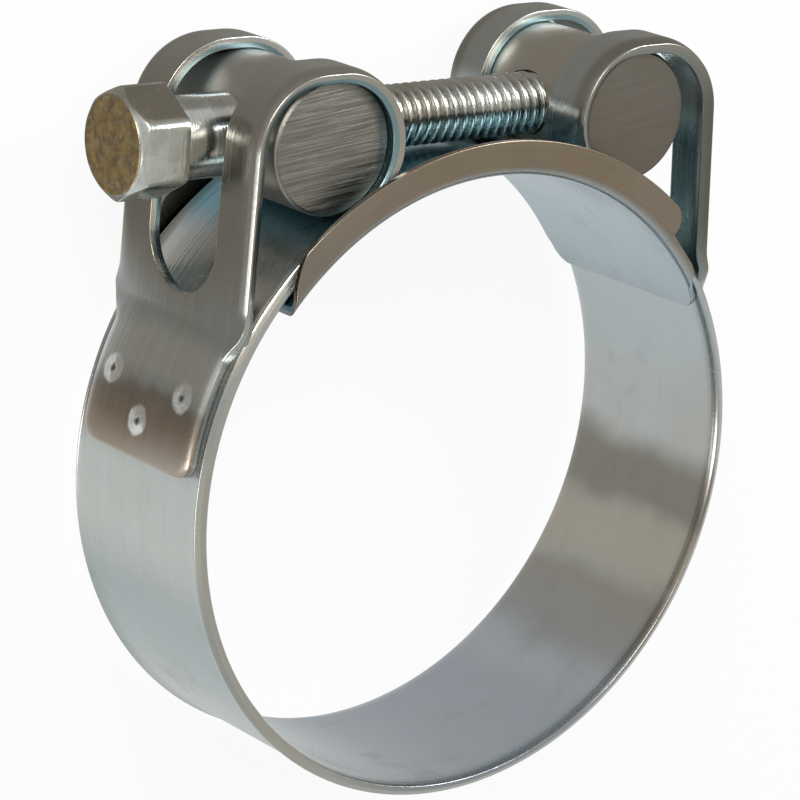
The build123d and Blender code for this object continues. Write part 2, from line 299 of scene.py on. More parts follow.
@dataclass(frozen=True)
class SheetForm:
    """A closed sheet-metal form: thickness, edge rounding and the rolled edge's reach."""

    thickness: float
    edge: float
    slot_radius: float = 0.0
    end_rounding: float = 0.13 * MM
    near_edge: tuple[float, ...] = (0.0, 0.1, 0.35, 1.0, 1.8)
    flat_columns: int = 8
    roll_columns: int = 7
    edge_steps: int = 4
    roll_limit: float = math.inf
    least_curl: float = 1e-6

    def template(self, rows: SheetRows) -> tuple[Array, Array]:
        """Places one half section's points on every row.

        The hose face runs from the slot or the middle to the outer edge, a half circle of the
        edge's rounding turns it over, and the barrel face runs back.

        Args:
            rows: The rows.

        Returns:
            The developed distance from the middle and the depth from the hose face.
        """
        def spread(start: Array, end: Array, count: int) -> Array:
            """Evenly spaced values after the start, up to the end."""
            return start[:, None] + (end - start)[:, None] * np.linspace(0.0, 1.0, count + 1)[1:]

        inner = rows.slot[:, None] + np.array(self.near_edge) * self.edge
        last = rows.outer - self.edge * self.near_edge[-1]
        bend = np.minimum(np.maximum(rows.flat, inner[:, -1] + self.edge), last - self.edge)
        flat, roll = spread(inner[:, -1], bend, self.flat_columns), spread(bend, last, self.roll_columns)
        turn = np.linspace(0.0, QUARTER, self.edge_steps + 1)
        rim = (rows.outer - self.edge)[:, None] + self.edge * np.sin(turn)
        half = np.concatenate([inner, flat, roll, rim], axis=1)
        sunk = np.concatenate([np.zeros(half.shape[1] - len(turn)), self.edge * (1 - np.cos(turn))])
        across = np.concatenate([half, half[:, ::-1]], axis=1)
        return across, np.broadcast_to(np.concatenate([sunk, self.thickness - sunk[::-1]]), across.shape)

    def drop(self, rows: SheetRows, across: Array) -> Array:
        """How far each point sinks below its face, at the slot's edge and the sheet's ends.

        Args:
            rows: The rows.
            across: Developed distances from the middle.

        Returns:
            The depths.
        """
        ends = corner_inset(rows.end_distance, self.end_rounding)[:, None]
        if not self.slot_radius:
            return np.broadcast_to(ends, across.shape)
        reach = np.sqrt(rows.slot_along[:, None] ** 2 + across**2) - self.slot_radius
        return np.maximum(ends, corner_inset(np.maximum(reach, 0.0), self.edge))

    def points(self, rows: SheetRows, across: Array, depth: Array, lift: Change | None) -> Array:
        """Works out the points of one half, for Z at and above zero.

        On the rolled edge the section turns by the curl times the developed distance past the
        flat, up to a limit, and then runs straight on.

        Args:
            rows: The rows.
            across: The template's developed distances.
            depth: The template's depths.
            lift: Extra depth of the hose face, by developed distance and row.

        Returns:
            Array of rows by section points by 3.
        """
        drop = self.drop(rows, across)
        face_side = depth < self.thickness / 2
        depth = np.where(face_side, np.maximum(depth, drop), np.minimum(depth, self.thickness - drop))
        if lift is not None:
            depth = depth + np.where(face_side, lift(across) * (1 - depth / self.thickness), 0.0)
        past = np.maximum(across - rows.flat[:, None], 0.0)
        curl = np.where(np.abs(rows.curl) < self.least_curl, self.least_curl, rows.curl)[:, None]
        bent = np.minimum(past, self.roll_limit / np.abs(curl))
        straight = past - bent
        cosine, sine = np.cos(curl * bent), np.sin(curl * bent)
        width = np.minimum(across, rows.flat[:, None]) + sine / curl + straight * cosine - depth * sine
        rise = (1 - cosine) / curl + straight * sine + depth * cosine
        plane = rows.place[:, None, :] + rows.inward[:, None, :] * rise[:, :, None]
        return np.concatenate([plane, width[:, :, None]], axis=2)

    def faces(self, rows: SheetRows, columns: int) -> list[Face]:
        """Faces of both halves, the slot's walls and the end caps.

        Args:
            rows: The rows.
            columns: Number of points in one half section.

        Returns:
            The faces, for the upper half's points followed by the lower half's.
        """
        count = len(rows.outer)
        faces: list[Face] = []
        in_slot = rows.slot > 0
        walls = np.nonzero(in_slot[:-1] | in_slot[1:])[0].tolist()
        for start in (0, count * columns):
            faces += grid_faces(count, columns, start=start)
            for row in walls:
                first = start + row * columns
                faces.append((first + columns, first, first + columns - 1, first + 2 * columns - 1))
            for first in (start, start + (count - 1) * columns):
                last = first + columns - 1
                faces += [(first + i, first + i + 1, last - i - 1, last - i)
                          for i in range(columns // 2 - 1)]
        return faces

    def build(self, name: str, rows: SheetRows, shape: Change | None = None,
              lift: Change | None = None) -> Object:
        """Builds the closed object, both halves together.

        Args:
            name: Its name.
            rows: The rows.
            shape: A change to the upper half's points, such as a slanting end.
            lift: Extra depth of the hose face.

        Returns:
            The object.
        """
        across, depth = self.template(rows)
        upper = self.points(rows, across, depth, lift)
        if shape is not None:
            upper = shape(upper)
        chart = np.stack([np.broadcast_to(rows.along[:, None], across.shape), across, depth], axis=2)
        points, strip = (np.concatenate([half.reshape(-1, 3), (half * flip).reshape(-1, 3)])
                         for half, flip in ((upper, FLIP_Z), (chart, FLIP_ACROSS)))
        return new_object(name, mesh_from_arrays(name, points, self.faces(rows, across.shape[1]), strip))


@dataclass(frozen=True)
class Run:
    """One stretch of the strip's path: its length and how far it turns left, in radians."""

    length: float
    turn: float


class StripPath:
    """The path of the strip's hose face from the ring's lowest point to the tail's end."""

    def __init__(self, sizes: ClampSizes) -> None:
        """Works out the runs of the path.

        Args:
            sizes: The clamp's sizes.
        """
        self.sizes = sizes
        leg_down = np.array([math.sin(sizes.leg_slant), -math.cos(sizes.leg_slant)])
        leg_out = np.array([math.cos(sizes.leg_slant), math.sin(sizes.leg_slant)])
        centre = np.array([sizes.barrel_x + sizes.crown_length, sizes.bolt_height])
        leg_top = centre + leg_out * sizes.loop_radius
        line = leg_top + leg_out * sizes.fold_radius
        reach = sizes.tail_radius + sizes.fold_radius
        along = float(line @ leg_down)
        leg_length = -along - math.sqrt(along**2 - float(line @ line) + reach**2)
        fold_centre = line + leg_down * leg_length
        fold_angle = math.atan2(fold_centre[0], fold_centre[1])
        half_turn = math.pi - sizes.touch_angle
        fold_turn = QUARTER - sizes.leg_slant - fold_angle
        tail_turn = sizes.tail_end_angle - fold_angle
        self.runs = (
            Run(sizes.band_radius * half_turn, half_turn),
            Run(sizes.neck_length, 0.0),
            Run(sizes.loop_radius * half_turn, -half_turn),
            Run(sizes.crown_length, 0.0),
            Run(sizes.loop_radius * (QUARTER - sizes.leg_slant), sizes.leg_slant - QUARTER),
            Run(leg_length, 0.0),
            Run(sizes.fold_radius * fold_turn, fold_turn),
            Run(sizes.tail_radius * tail_turn, -tail_turn),
        )
        self.starts = np.concatenate([[0.0], np.cumsum([run.length for run in self.runs])])
        slot_foot = float((leg_top + leg_down * leg_length)[1]) + sizes.slot_above_fold + sizes.slot_radius
        self.leg_slot = float(self.starts[5]) + (float(leg_top[1]) - slot_foot) / math.cos(sizes.leg_slant)
        self.gap_slot = float(self.starts[2]) + sizes.loop_radius * (QUARTER - sizes.touch_angle)

    def at(self, distance: Array) -> tuple[Array, Array]:
        """Places and inward directions along the path.

        Each run is a circle's arc or a straight line: the place moves by the chord, whose
        direction is the heading at the middle of the stretch.

        Args:
            distance: Distances along the path from the ring's lowest point.

        Returns:
            Places in the XY plane and unit directions from the hose face into the strip.
        """
        def step(gone: Array, turned: Array) -> Array:
            """The chord of a stretch that starts with the present heading.

            The chord's length is the arc's times the sine of half the turn over half the turn.

            Args:
                gone: Lengths of the stretch.
                turned: How far it turns left.

            Returns:
                The chords.
            """
            middle = heading + turned / 2
            chord = gone * np.sinc(turned / 2 / math.pi)
            return np.stack([np.cos(middle), np.sin(middle)], axis=-1) * chord[..., None]

        place, heading = np.array([0.0, -self.sizes.band_radius]), 0.0
        places, headings = np.zeros((len(distance), 2)), np.zeros(len(distance))
        for run, start in zip(self.runs, self.starts):
            inside = (distance >= start - 1e-12) & (distance <= start + run.length + 1e-9)
            gone = np.clip(distance[inside] - start, 0.0, run.length)
            turned = run.turn * gone / run.length
            places[inside] = place + step(gone, turned)
            headings[inside] = heading + turned
            place = place + step(np.array(run.length), np.array(run.turn))
            heading += run.turn
        return places, np.stack([np.sin(headings), -np.cos(headings)], axis=1)

    def stations(self) -> Array:
        """Distances of the rows along half of the strip, close together where the form is fine.

        Returns:
            The distances in order.
        """
        sizes = self.sizes
        highlight_ring, neck, loop, crown, bend, leg, fold, tail, end = self.starts
        around = np.sin(np.linspace(0.0, QUARTER, 22))
        share = np.clip(sizes.slot_radius * around / sizes.loop_radius, 0.0, 1.0)
        below = sizes.loop_radius * np.arcsin(share)
        beyond = np.array([0.02, 0.05, 0.1, 0.16, 0.24, 0.4, 0.7]) * MM
        near_end = np.array([0.01, 0.03, 0.06, 0.11, 0.17, 0.24, 0.31, 0.38, 0.45, 0.6]) * MM
        stretches = (
            (highlight_ring, neck, 84), (neck, loop, 4), (loop, crown, 64), (crown, bend, 6), (bend, leg, 38),
            (leg, fold, 40), (fold - 1.5 * MM, tail + 2.5 * MM, 30), (tail, end - sizes.tail_corner, 40),
        )
        return ordered([
            *(np.linspace(*stretch) for stretch in stretches),
            end - sizes.tail_corner * (1 - around),
            self.leg_slot + sizes.slot_radius * around,
            self.gap_slot - below,
            self.leg_slot + sizes.slot_radius + beyond,
            self.gap_slot - below[-1] - beyond * 1.4,
            end - near_end,
        ], 9, 4e-6, end)

    def slot_along(self, distance: Array, places: Array) -> Array:
        """Distance on the strip past the slot's end centres, and zero between them.

        Args:
            distance: Distances along the path.
            places: The path's places there.

        Returns:
            The distances past the centres.
        """
        below_bolt = np.where(distance < self.gap_slot, self.sizes.bolt_height - places[:, 1], 0.0)
        return np.maximum(below_bolt, np.maximum(distance - self.leg_slot, 0.0))


@dataclass(frozen=True)
class Band:
    """The band: one strip with rolled edges, slots, folds and welded tails."""

    sizes: ClampSizes
    edge: float = 0.16 * MM
    end_rounding: float = 0.45 * MM
    tail_edge_drop: float = 0.55 * MM
    tail_edge_reach: float = 1.7 * MM
    tail_flat_loss: float = 1.6 * MM
    lip_past_fold: float = 0.6 * MM
    lip_fade: float = 3.8 * MM

    def rows(self, path: StripPath) -> SheetRows:
        """Lays out the rows from the head-side tail's end round to the tip-side tail's end.

        Args:
            path: The path of half of the strip.

        Returns:
            The rows.
        """
        sizes = self.sizes
        distance = path.stations()
        places, inward = path.at(distance)
        along = path.slot_along(distance, places)
        fold, end = path.starts[6], path.starts[8]
        full = sizes.strip_flat + sizes.lip_radius * sizes.lip_angle
        narrow = smoothstep(distance, fold - 1.2 * MM, fold + 4.0 * MM)
        outer = full + (sizes.tail_half_width - full) * narrow
        outer = outer - corner_inset(end - distance, sizes.tail_corner)
        lip_end = fold + self.lip_past_fold
        lip = 1 - smoothstep(distance, lip_end - self.lip_fade, lip_end)

        def both(values: Array, flip: Array | float = 1.0) -> Array:
            """Joins the half, mirrored by a factor, in front of the half itself."""
            return np.concatenate([values[:0:-1] * flip, values])

        return SheetRows(
            place=both(places, np.array([-1.0, 1.0])),
            inward=both(inward, np.array([-1.0, 1.0])),
            outer=both(outer),
            slot=both(np.sqrt(np.maximum(sizes.slot_radius**2 - along**2, 0.0))),
            flat=both(sizes.strip_flat - self.tail_flat_loss * narrow),
            curl=both(lip / sizes.lip_radius),
            end_distance=both(end - distance),
            slot_along=both(np.where(distance > path.starts[1], along, 1.0)),
            along=both(distance, -1.0),
        )

    def build(self) -> Object:
        """Builds the band; the tail's edges are pressed down towards the ring.

        Returns:
            The band's object.
        """
        path = StripPath(self.sizes)
        rows, tail = self.rows(path), path.starts[7]
        on_tail = smoothstep(np.abs(rows.along), tail - 0.5 * MM, tail + 3 * MM)[:, None]

        def pressed(across: Array) -> Array:
            """Depth of the tail's pressed edge: the square of how near the edge is."""
            near = np.clip(1 - (rows.outer[:, None] - across) / self.tail_edge_reach, 0.0, 1.0)
            return on_tail * near**2 * self.tail_edge_drop

        form = SheetForm(self.sizes.strip_thickness, self.edge, self.sizes.slot_radius, self.end_rounding)
        return form.build("band_look", rows, lift=pressed)


@dataclass(frozen=True)
class Bridge:
    """The thin plate that closes the gap from inside, with a flange along each side."""

    sizes: ClampSizes
    edge: float = 0.13 * MM
    square_reach: float = 0.30
    curl_fade: float = 0.10

    @property
    def start(self) -> float:
        """Angle from +Y of the free end on the hose face."""
        return -math.asin(self.sizes.bridge_free_end / self.sizes.bridge_radius)

    def angles(self) -> Array:
        """Angles of the rows from +Y, close together at the ends and corners.

        Returns:
            The angles in order.
        """
        sizes = self.sizes
        end = sizes.tongue_end_angle
        inset = 1 - np.sin(np.linspace(0.0, QUARTER, 14))
        corner = sizes.flange_corner / sizes.flange_top * inset
        fine = np.array([0.03, 0.07, 0.12, 0.2]) * MM / sizes.bridge_radius
        return ordered([
            np.linspace(self.start, end, 90),
            self.start + corner,
            sizes.flange_end_angle - corner,
            sizes.flange_end_angle + np.array([0.0006, 0.004, 0.008, 0.014]),
            end - sizes.tongue_corner / sizes.bridge_radius * inset,
            self.start + fine,
            end - fine,
        ], 7, 1.2e-4, end)

    def rows(self, angles: Array) -> SheetRows:
        """Lays out the rows from the free end to the tongue.

        The flange's height is its full height less the rounded corners; past its end a low
        curl fades into the flat tongue. The sheet's reach across is the bend's arc up to that
        height, plus the straight part above the bend.

        Args:
            angles: The rows' angles.

        Returns:
            The rows.
        """
        sizes, bend = self.sizes, self.sizes.flange_bend
        from_start = (angles - self.start) * sizes.flange_top
        from_flange = (sizes.flange_end_angle - angles) * sizes.flange_top
        from_end = (sizes.tongue_end_angle - angles) * sizes.bridge_radius
        height = sizes.flange_top - sizes.bridge_radius - corner_inset(from_start, sizes.flange_corner)
        height = height - corner_inset(np.maximum(from_flange, 0.0), sizes.flange_corner)
        faded = smoothstep(angles, sizes.curl_end_angle - self.curl_fade, sizes.curl_end_angle)
        height = np.where(from_flange >= 0, height, sizes.curl_height * (1 - faded))
        bent = np.arccos(np.clip(1 - height / bend, 0.0, 1.0)) * bend
        reach = np.where(height > bend, bend * QUARTER + height - bend, bent)
        inward = np.stack([np.sin(angles), np.cos(angles)], axis=1)
        return SheetRows(
            place=inward * sizes.bridge_radius,
            inward=inward,
            outer=sizes.flange_root + reach - corner_inset(from_end, sizes.tongue_corner),
            slot=np.zeros_like(angles),
            flat=np.full_like(angles, sizes.flange_root),
            curl=np.full_like(angles, 1 / bend),
            end_distance=np.minimum(from_start, from_end),
            slot_along=np.ones_like(angles),
            along=angles * sizes.bridge_radius,
        )

    def build(self) -> Object:
        """Builds the bridge; its free end is one plane square to the bolt.

        Returns:
            The bridge's object.
        """
        angles = self.angles()
        fade = 1 - smoothstep(angles, self.start, self.start + self.square_reach)[:, None]

        def square_end(points: Array) -> Array:
            """Turns each point by how far the plane's angle at its radius is from the free end's.

            At a radius, the plane's angle is the arcsine of its distance over the radius.

            Args:
                points: The upper half's points.

            Returns:
                The turned points.
            """
            x, y, z = np.moveaxis(points, 2, 0)
            radius = np.hypot(x, y)
            cut_angle = np.arcsin(np.clip(self.sizes.bridge_free_end / radius, 0.0, 1.0)) + self.start
            angle = np.arctan2(x, y) - cut_angle * fade
            return np.stack([radius * np.sin(angle), radius * np.cos(angle), z], axis=2)

        form = SheetForm(self.sizes.bridge_thickness, self.edge, roll_columns=20, roll_limit=QUARTER)
        return form.build("bridge_look", self.rows(angles), shape=square_end)


def lathe(name: str, profile: Profile, axis: Matrix, segments: int) -> Mesh:
    """Turns a closed profile round an axis.

    Args:
        name: The mesh's name.
        profile: Pairs of distance along the axis and radius; a radius of zero closes an end.
        axis: Matrix that carries the profile's axis, its local Z, into the row frame.
        segments: Number of steps round the axis.

    Returns:
        The closed mesh.
    """
    along, radius = np.array(profile).T[:, :, None]
    turn = np.linspace(0.0, 2 * math.pi, segments, endpoint=False)
    local = np.stack([radius * np.cos(turn), radius * np.sin(turn), along + 0 * turn], axis=2)
    turned = local.reshape(-1, 3) @ np.array(axis.to_3x3()).T + np.array(axis.translation)
    faces = grid_faces(len(profile), segments, closed=True)
    if radius[0] > 0 and radius[-1] > 0:
        last = (len(profile) - 1) * segments
        faces += [(last + i, last + (i + 1) % segments, (i + 1) % segments, i) for i in range(segments)]
    return mesh_from_arrays(name, turned, faces)


def rounded(corners: Sequence[tuple[float, float, float]], steps: int = 3) -> Profile:
    """Rounds the corners of a profile with circular arcs, worked out on complex numbers.

    Args:
        corners: Points with the radius of the arc at each, or zero for none.
        steps: Number of segments in each arc.

    Returns:
        The rounded profile.
    """
    out: Profile = []
    for index, (x, y, radius) in enumerate(corners):
        if radius <= 0:
            out.append((x, y))
            continue
        here = complex(x, y)
        ways = [complex(*corners[near][:2]) - here for near in (index - 1, index + 1)]
        before, after = (way / abs(way) for way in ways)
        half = math.acos((before * after.conjugate()).real) / 2
        centre = here + (before + after) / abs(before + after) * radius / math.sin(half)
        first, last = (here + way * radius / math.tan(half) - centre for way in (before, after))
        sweep = cmath.phase(last / first)
        arc = [centre + first * cmath.exp(1j * sweep * step / steps) for step in range(steps + 1)]
        out += [(point.real, point.imag) for point in arc]
    return out


def bar_profile(low: float, high: float, inner: float, outer: float,
                rim: float, rounding: float) -> Profile:
    """Profile of a bar or tube whose outer edges are broken and rounded.

    Args:
        low: Where it starts along its axis.
        high: Where it ends.
        inner: Radius of the bore, or zero.
        outer: Radius of the bar.
        rim: Width of the broken edges.
        rounding: Radius of their rounding.

    Returns:
        The profile.
    """
    start = [(low, outer - rim, rounding), (low + rim, outer, rounding)]
    end = [(high - rim, outer, rounding), (high, outer - rim, rounding)]
    return rounded([(low, inner, 0.0), *start, *end, (high, inner, 0.0)])


def along_x(y: float) -> Matrix:
    """Matrix that puts a lathe's axis along X at a height of Y."""
    return Matrix.Translation((0.0, y, 0.0)) @ Matrix.Rotation(QUARTER, 4, "Y")


def cut(target: Object, tools: Sequence[Mesh]) -> None:
    """Cuts closed meshes out of an object and keeps the result as its mesh.

    Args:
        target: The object to cut.
        tools: The cutters' meshes.
    """
    for index, tool in enumerate(tools):
        cutter = new_object(f"{target.name}_cutter_{index}", tool)
        modifier = target.modifiers.new("cut", "BOOLEAN")
        modifier.operation, modifier.solver, modifier.object = "DIFFERENCE", "EXACT", cutter
        graph = bpy.context.evaluated_depsgraph_get()
        result = bpy.data.meshes.new_from_object(target.evaluated_get(graph))
        target.modifiers.clear()
        target.data = result
        bpy.data.objects.remove(cutter)
    target.data.name = target.name
    target.data.shade_smooth()
    target.data.set_sharp_from_angle(angle=math.radians(32))


@dataclass(frozen=True)
class Barrel:
    """A cross barrel: a round bar across the strip with a hole for the bolt."""

    sizes: ClampSizes
    side: Side
    rim: float = 0.4 * MM
    rim_rounding: float = 0.12 * MM
    seat_gap: float = 0.02 * MM
    spot_gap: float = 0.3 * MM
    plain_gap: float = 0.08 * MM
    thread_gap: float = 0.05 * MM
    sink: float = 1.1 * MM
    past: float = 1 * MM
    segments: int = 144
    hole_segments: int = 96

    def bored(self) -> list[Profile]:
        """Profiles of what is bored out: spot face and clearance hole, or tapped hole and mouth.

        Returns:
            The profiles, along the bolt.
        """
        sizes = self.sizes
        reach = sizes.barrel_x + sizes.barrel_radius + self.past
        if self.side is Side.HEAD:
            spot = sizes.spacer_radius + self.spot_gap
            holes = ((sizes.spacer_end + self.seat_gap, spot), (0.0, sizes.shank_radius + self.plain_gap))
            return [[(-reach, 0.0), (-reach, radius), (end, radius), (end, 0.0)] for end, radius in holes]
        mouth, hole = sizes.barrel_x - sizes.barrel_radius, sizes.shank_radius + self.thread_gap
        wide = hole + self.sink + self.past
        return [[(mouth - self.past, 0.0), (mouth - self.past, wide), (mouth + self.sink, hole),
                 (reach, hole), (reach, 0.0)]]

    def build(self) -> Object:
        """Turns the barrel with broken edges and bores it.

        Returns:
            The barrel's object.
        """
        sizes, half = self.sizes, self.sizes.barrel_half_length
        name = "plain_barrel_look" if self.side is Side.HEAD else "threaded_barrel_look"
        profile = bar_profile(-half, half, 0.0, sizes.barrel_radius, self.rim, self.rim_rounding)
        place = Matrix.Translation((self.side.value * sizes.barrel_x, sizes.bolt_height, 0.0))
        barrel = new_object(name, lathe(name, profile, place, self.segments))
        axis = along_x(sizes.bolt_height)
        cut(barrel, [lathe("hole", profile, axis, self.hole_segments) for profile in self.bored()])
        return barrel


@dataclass(frozen=True)
class Spacer:
    """The short tube between the bolt's head and the plain barrel."""

    sizes: ClampSizes
    bore_gap: float = 0.08 * MM
    rim: float = 0.3 * MM
    rim_rounding: float = 0.1 * MM
    segments: int = 144

    def build(self) -> Object:
        """Turns the tube with broken edges.

        Returns:
            The spacer's object.
        """
        sizes = self.sizes
        profile = bar_profile(sizes.spacer_start, sizes.spacer_end, sizes.shank_radius + self.bore_gap,
                              sizes.spacer_radius, self.rim, self.rim_rounding)
        mesh = lathe("spacer_look", profile, along_x(sizes.bolt_height), self.segments)
        mesh.set_sharp_from_angle(angle=math.radians(50))
        return new_object("spacer_look", mesh)


@dataclass(frozen=True)
class Bolt:
    """The hexagon bolt: chamfered head and a thread along the whole shank."""

    sizes: ClampSizes
    segments: int = 96
    rows_per_pitch: int = 12
    softness: float = 0.14 * MM
    corner_cut: float = 0.22 * MM
    corner_soft: float = 0.6
    crest_rounding: float = 0.05 * MM
    depth_share: float = 0.6134

    @staticmethod
    def soft_part(value: Array, soft: float) -> Array:
        """A soft maximum of a value and zero: a logarithm of one plus an exponential."""
        return soft * np.log1p(np.exp(np.clip(value / soft, -40, 40)))

    def hexagon(self, turn: Array) -> Array:
        """Distance of the head's sides from the bolt's axis, with softened corners.

        The flat's distance is the inradius over the cosine of the angle from the flat's
        middle. A smooth minimum with a circle just inside the corners takes the points away.

        Args:
            turn: Angles from a corner.

        Returns:
            The distances.
        """
        side = self.sizes.head_inradius / np.cos(np.mod(turn, 2 * FLAT_ANGLE) - FLAT_ANGLE)
        past = side - self.sizes.head_corner_radius + self.corner_cut
        return side - self.soft_part(past, self.corner_cut * self.corner_soft)

    def depth(self, phase: Array) -> Array:
        """Depth of a 60 degree thread below its crest, with rounded crest and root.

        The flank drops by the tangent of 60 degrees times the distance from the crest's flat.
        A soft maximum with zero makes the crest, and a soft minimum with the full depth the root.

        Args:
            phase: Position in turns; the crest is at whole numbers.

        Returns:
            The depth.
        """
        pitch, soft = self.sizes.thread_pitch, self.crest_rounding
        across = np.abs(np.mod(phase + 0.5, 1.0) - 0.5) * pitch
        full = self.depth_share * pitch
        flank = (across - pitch / 16) * math.tan(math.radians(60))
        return full - self.soft_part(full - self.soft_part(flank, soft), soft)

    def head_rings(self, turn: Array) -> list[tuple[Array | float, Array | float]]:
        """Rings of the head from the middle of its face out, down its sides and in to the shank.

        The face ends in a cone whose height grows with the distance past the face's circle.

        Args:
            turn: Angles from a corner.

        Returns:
            For each ring, its place along the bolt and its distance from the axis.
        """
        sizes, soft = self.sizes, self.softness
        corner = self.hexagon(turn)
        end, seat, face = sizes.head_end, sizes.head_seat, sizes.head_face_radius
        slope = sizes.head_chamfer / (sizes.head_corner_radius - face)
        bevel = end + slope * (corner - face)
        side = seat - bevel - 2 * soft
        wide = sizes.head_corner_radius - sizes.shank_radius
        return [
            *((end, face * share) for share in (0.0, 0.2, 0.4, 0.6, 0.8, 0.93)),
            (end + soft * 0.08, face - soft * 0.4),
            (end + soft * 0.5, face + soft * 0.4),
            *((end + slope * (corner - face) * share + soft * 0.35 * (1 - share),
               face + (corner - face) * share) for share in (0.25, 0.5, 0.75)),
            (bevel - slope * soft * 0.5, corner - soft * 0.6),
            (bevel + soft * 0.25, corner - soft * 0.15),
            (bevel + soft, corner),
            *((bevel + soft + side * share, corner) for share in (0.2, 0.6, 0.9)),
            (seat - soft, corner),
            (seat - soft * 0.25, corner - soft * 0.25),
            (seat, corner - soft),
            *((seat, sizes.shank_radius + wide * share) for share in (0.48, 0.24, 0.0)),
        ]

    def build(self) -> Object:
        """Builds head and shank as one closed surface.

        Each point of the shank is at the crest's radius less the thread's depth, whose phase is
        its place along the bolt in pitches plus its share of a turn.

        Returns:
            The bolt's object.
        """
        sizes, tip, seat = self.sizes, self.sizes.tip_end, self.sizes.head_seat
        turn = np.linspace(0.0, 2 * math.pi, self.segments, endpoint=False)
        angle = turn + sizes.head_turn
        count = int((tip - seat) / sizes.thread_pitch * self.rows_per_pitch)
        along = np.linspace(seat + 0.05 * MM, tip - 0.01 * MM, count)[:, None]
        started = smoothstep(along, seat + 0.5 * MM, seat + 3 * MM)
        phase = along / sizes.thread_pitch + angle / (2 * math.pi)
        shank = sizes.shank_radius - self.depth(phase) * started
        end_radius = sizes.shank_radius - sizes.tip_chamfer
        shank = np.minimum(shank, end_radius + tip - along)
        rings = self.head_rings(turn) + list(zip(along, shank))
        rings += [(tip, end_radius * share) for share in (0.97, 0.5, 0.0)]
        x, r = (np.stack([np.broadcast_to(highlight_ring[part], turn.shape) for highlight_ring in rings]) for part in (0, 1))
        points = np.stack([x, sizes.bolt_height + r * np.sin(angle), r * np.cos(angle)], axis=2)
        faces = grid_faces(len(rings), self.segments, closed=True)
        return new_object("bolt_look", mesh_from_arrays("bolt_look", points.reshape(-1, 3), faces))


def linear(colour: str) -> Colour:
    """Turns a six-digit sRGB colour into linear red, green, blue and an alpha of one.

    Each channel below 0.04045 is divided by 12.92; above it, 0.055 is added, the sum is
    divided by 1.055 and raised to the power 2.4.

    Args:
        colour: The colour's six hexadecimal digits.

    Returns:
        The linear colour.
    """
    channels = (int(colour[i:i + 2], 16) / 255 for i in (0, 2, 4))
    red, green, blue = (c / 12.92 if c <= 0.04045 else ((c + 0.055) / 1.055) ** 2.4 for c in channels)
    return red, green, blue, 1.0


class Graph:
    """Adds nodes to a node tree and joins them."""

    def __init__(self, tree: NodeTree) -> None:
        """Keeps the tree to fill."""
        self.tree = tree

    def node(self, kind: str, inputs: dict[str | int, Value] | None = None, **settings: object) -> Node:
        """Adds a node.

        Args:
            kind: The node's type.
            inputs: What its inputs get, by name or number.
            settings: Its properties by name.

        Returns:
            The node.
        """
        made = self.tree.nodes.new(kind)
        for key, value in settings.items():
            setattr(made, key, value)
        for key, value in (inputs or {}).items():
            self.feed(made.inputs[key], value)
        return made

    def feed(self, socket: NodeSocket, value: Value) -> None:
        """Joins a socket to another, or sets its value.

        Args:
            socket: The input that is fed.
            value: A socket, or the value to set.
        """
        if isinstance(value, NodeSocket):
            self.tree.links.new(value, socket)
        else:
            socket.default_value = value

    def math(self, operation: str, *values: Value) -> NodeSocket:
        """Puts values through a Math node."""
        return self.node("ShaderNodeMath", dict(enumerate(values)), operation=operation).outputs[0]

    def times(self, first: Value, second: Value) -> NodeSocket:
        """Product of two values."""
        return self.math("MULTIPLY", first, second)

    def plus(self, first: Value, second: Value) -> NodeSocket:
        """Sum of two values."""
        return self.math("ADD", first, second)

    def minus(self, first: Value, second: Value) -> NodeSocket:
        """First value less the second."""
        return self.math("SUBTRACT", first, second)

    def size(self, value: Value) -> NodeSocket:
        """A value without its sign."""
        return self.math("ABSOLUTE", value)

    def hypot(self, first: Value, second: Value) -> NodeSocket:
        """Square root of the sum of two squares."""
        return self.math("SQRT", self.plus(self.times(first, first), self.times(second, second)))

    def split(self, vector: NodeSocket) -> tuple[NodeSocket, ...]:
        """The three parts of a vector."""
        return tuple(self.node("ShaderNodeSeparateXYZ", {0: vector}).outputs)

    def scale(self, vector: NodeSocket, factors: Sequence[Value]) -> NodeSocket:
        """A vector with its three parts multiplied by their own factors."""
        parts = self.node("ShaderNodeCombineXYZ", dict(enumerate(factors))).outputs[0]
        return self.node("ShaderNodeVectorMath", {0: vector, 1: parts}, operation="MULTIPLY").outputs[0]

    def ramp(self, value: Value, low: Value, high: Value) -> NodeSocket:
        """A value eased from 0 at the low mark to 1 at the high one."""
        marks = {"Value": value, "From Min": low, "From Max": high}
        return self.node("ShaderNodeMapRange", marks, interpolation_type="SMOOTHSTEP").outputs[0]

    def fall(self, value: Value, low: Value, high: Value) -> NodeSocket:
        """A value eased from 1 at the low mark to 0 at the high one."""
        return self.minus(1.0, self.ramp(value, low, high))

    def noise(self, vector: NodeSocket, scale: Value, detail: float, rough: float = 0.55) -> NodeSocket:
        """A noise of a scale, with so many octaves and so much strength in the finer ones."""
        given = {"Vector": vector, "Scale": scale, "Detail": detail, "Roughness": rough}
        return self.node("ShaderNodeTexNoise", given).outputs["Fac"]

    def blend(self, share: Value, first: Value, second: Value) -> NodeSocket:
        """Mix of two colours, by the second one's share."""
        mixed = {0: share, 6: first, 7: second}
        return self.node("ShaderNodeMix", mixed, data_type="RGBA").outputs[2]

    def mix(self, share: Value, first: Node, second: Node) -> Node:
        """Mix of two shaders, by the second one's share."""
        return self.node("ShaderNodeMixShader", {0: share, 1: first.outputs[0], 2: second.outputs[0]})

    def place(self) -> NodeSocket:
        """Object coordinates."""
        return self.node("ShaderNodeTexCoord").outputs["Object"]


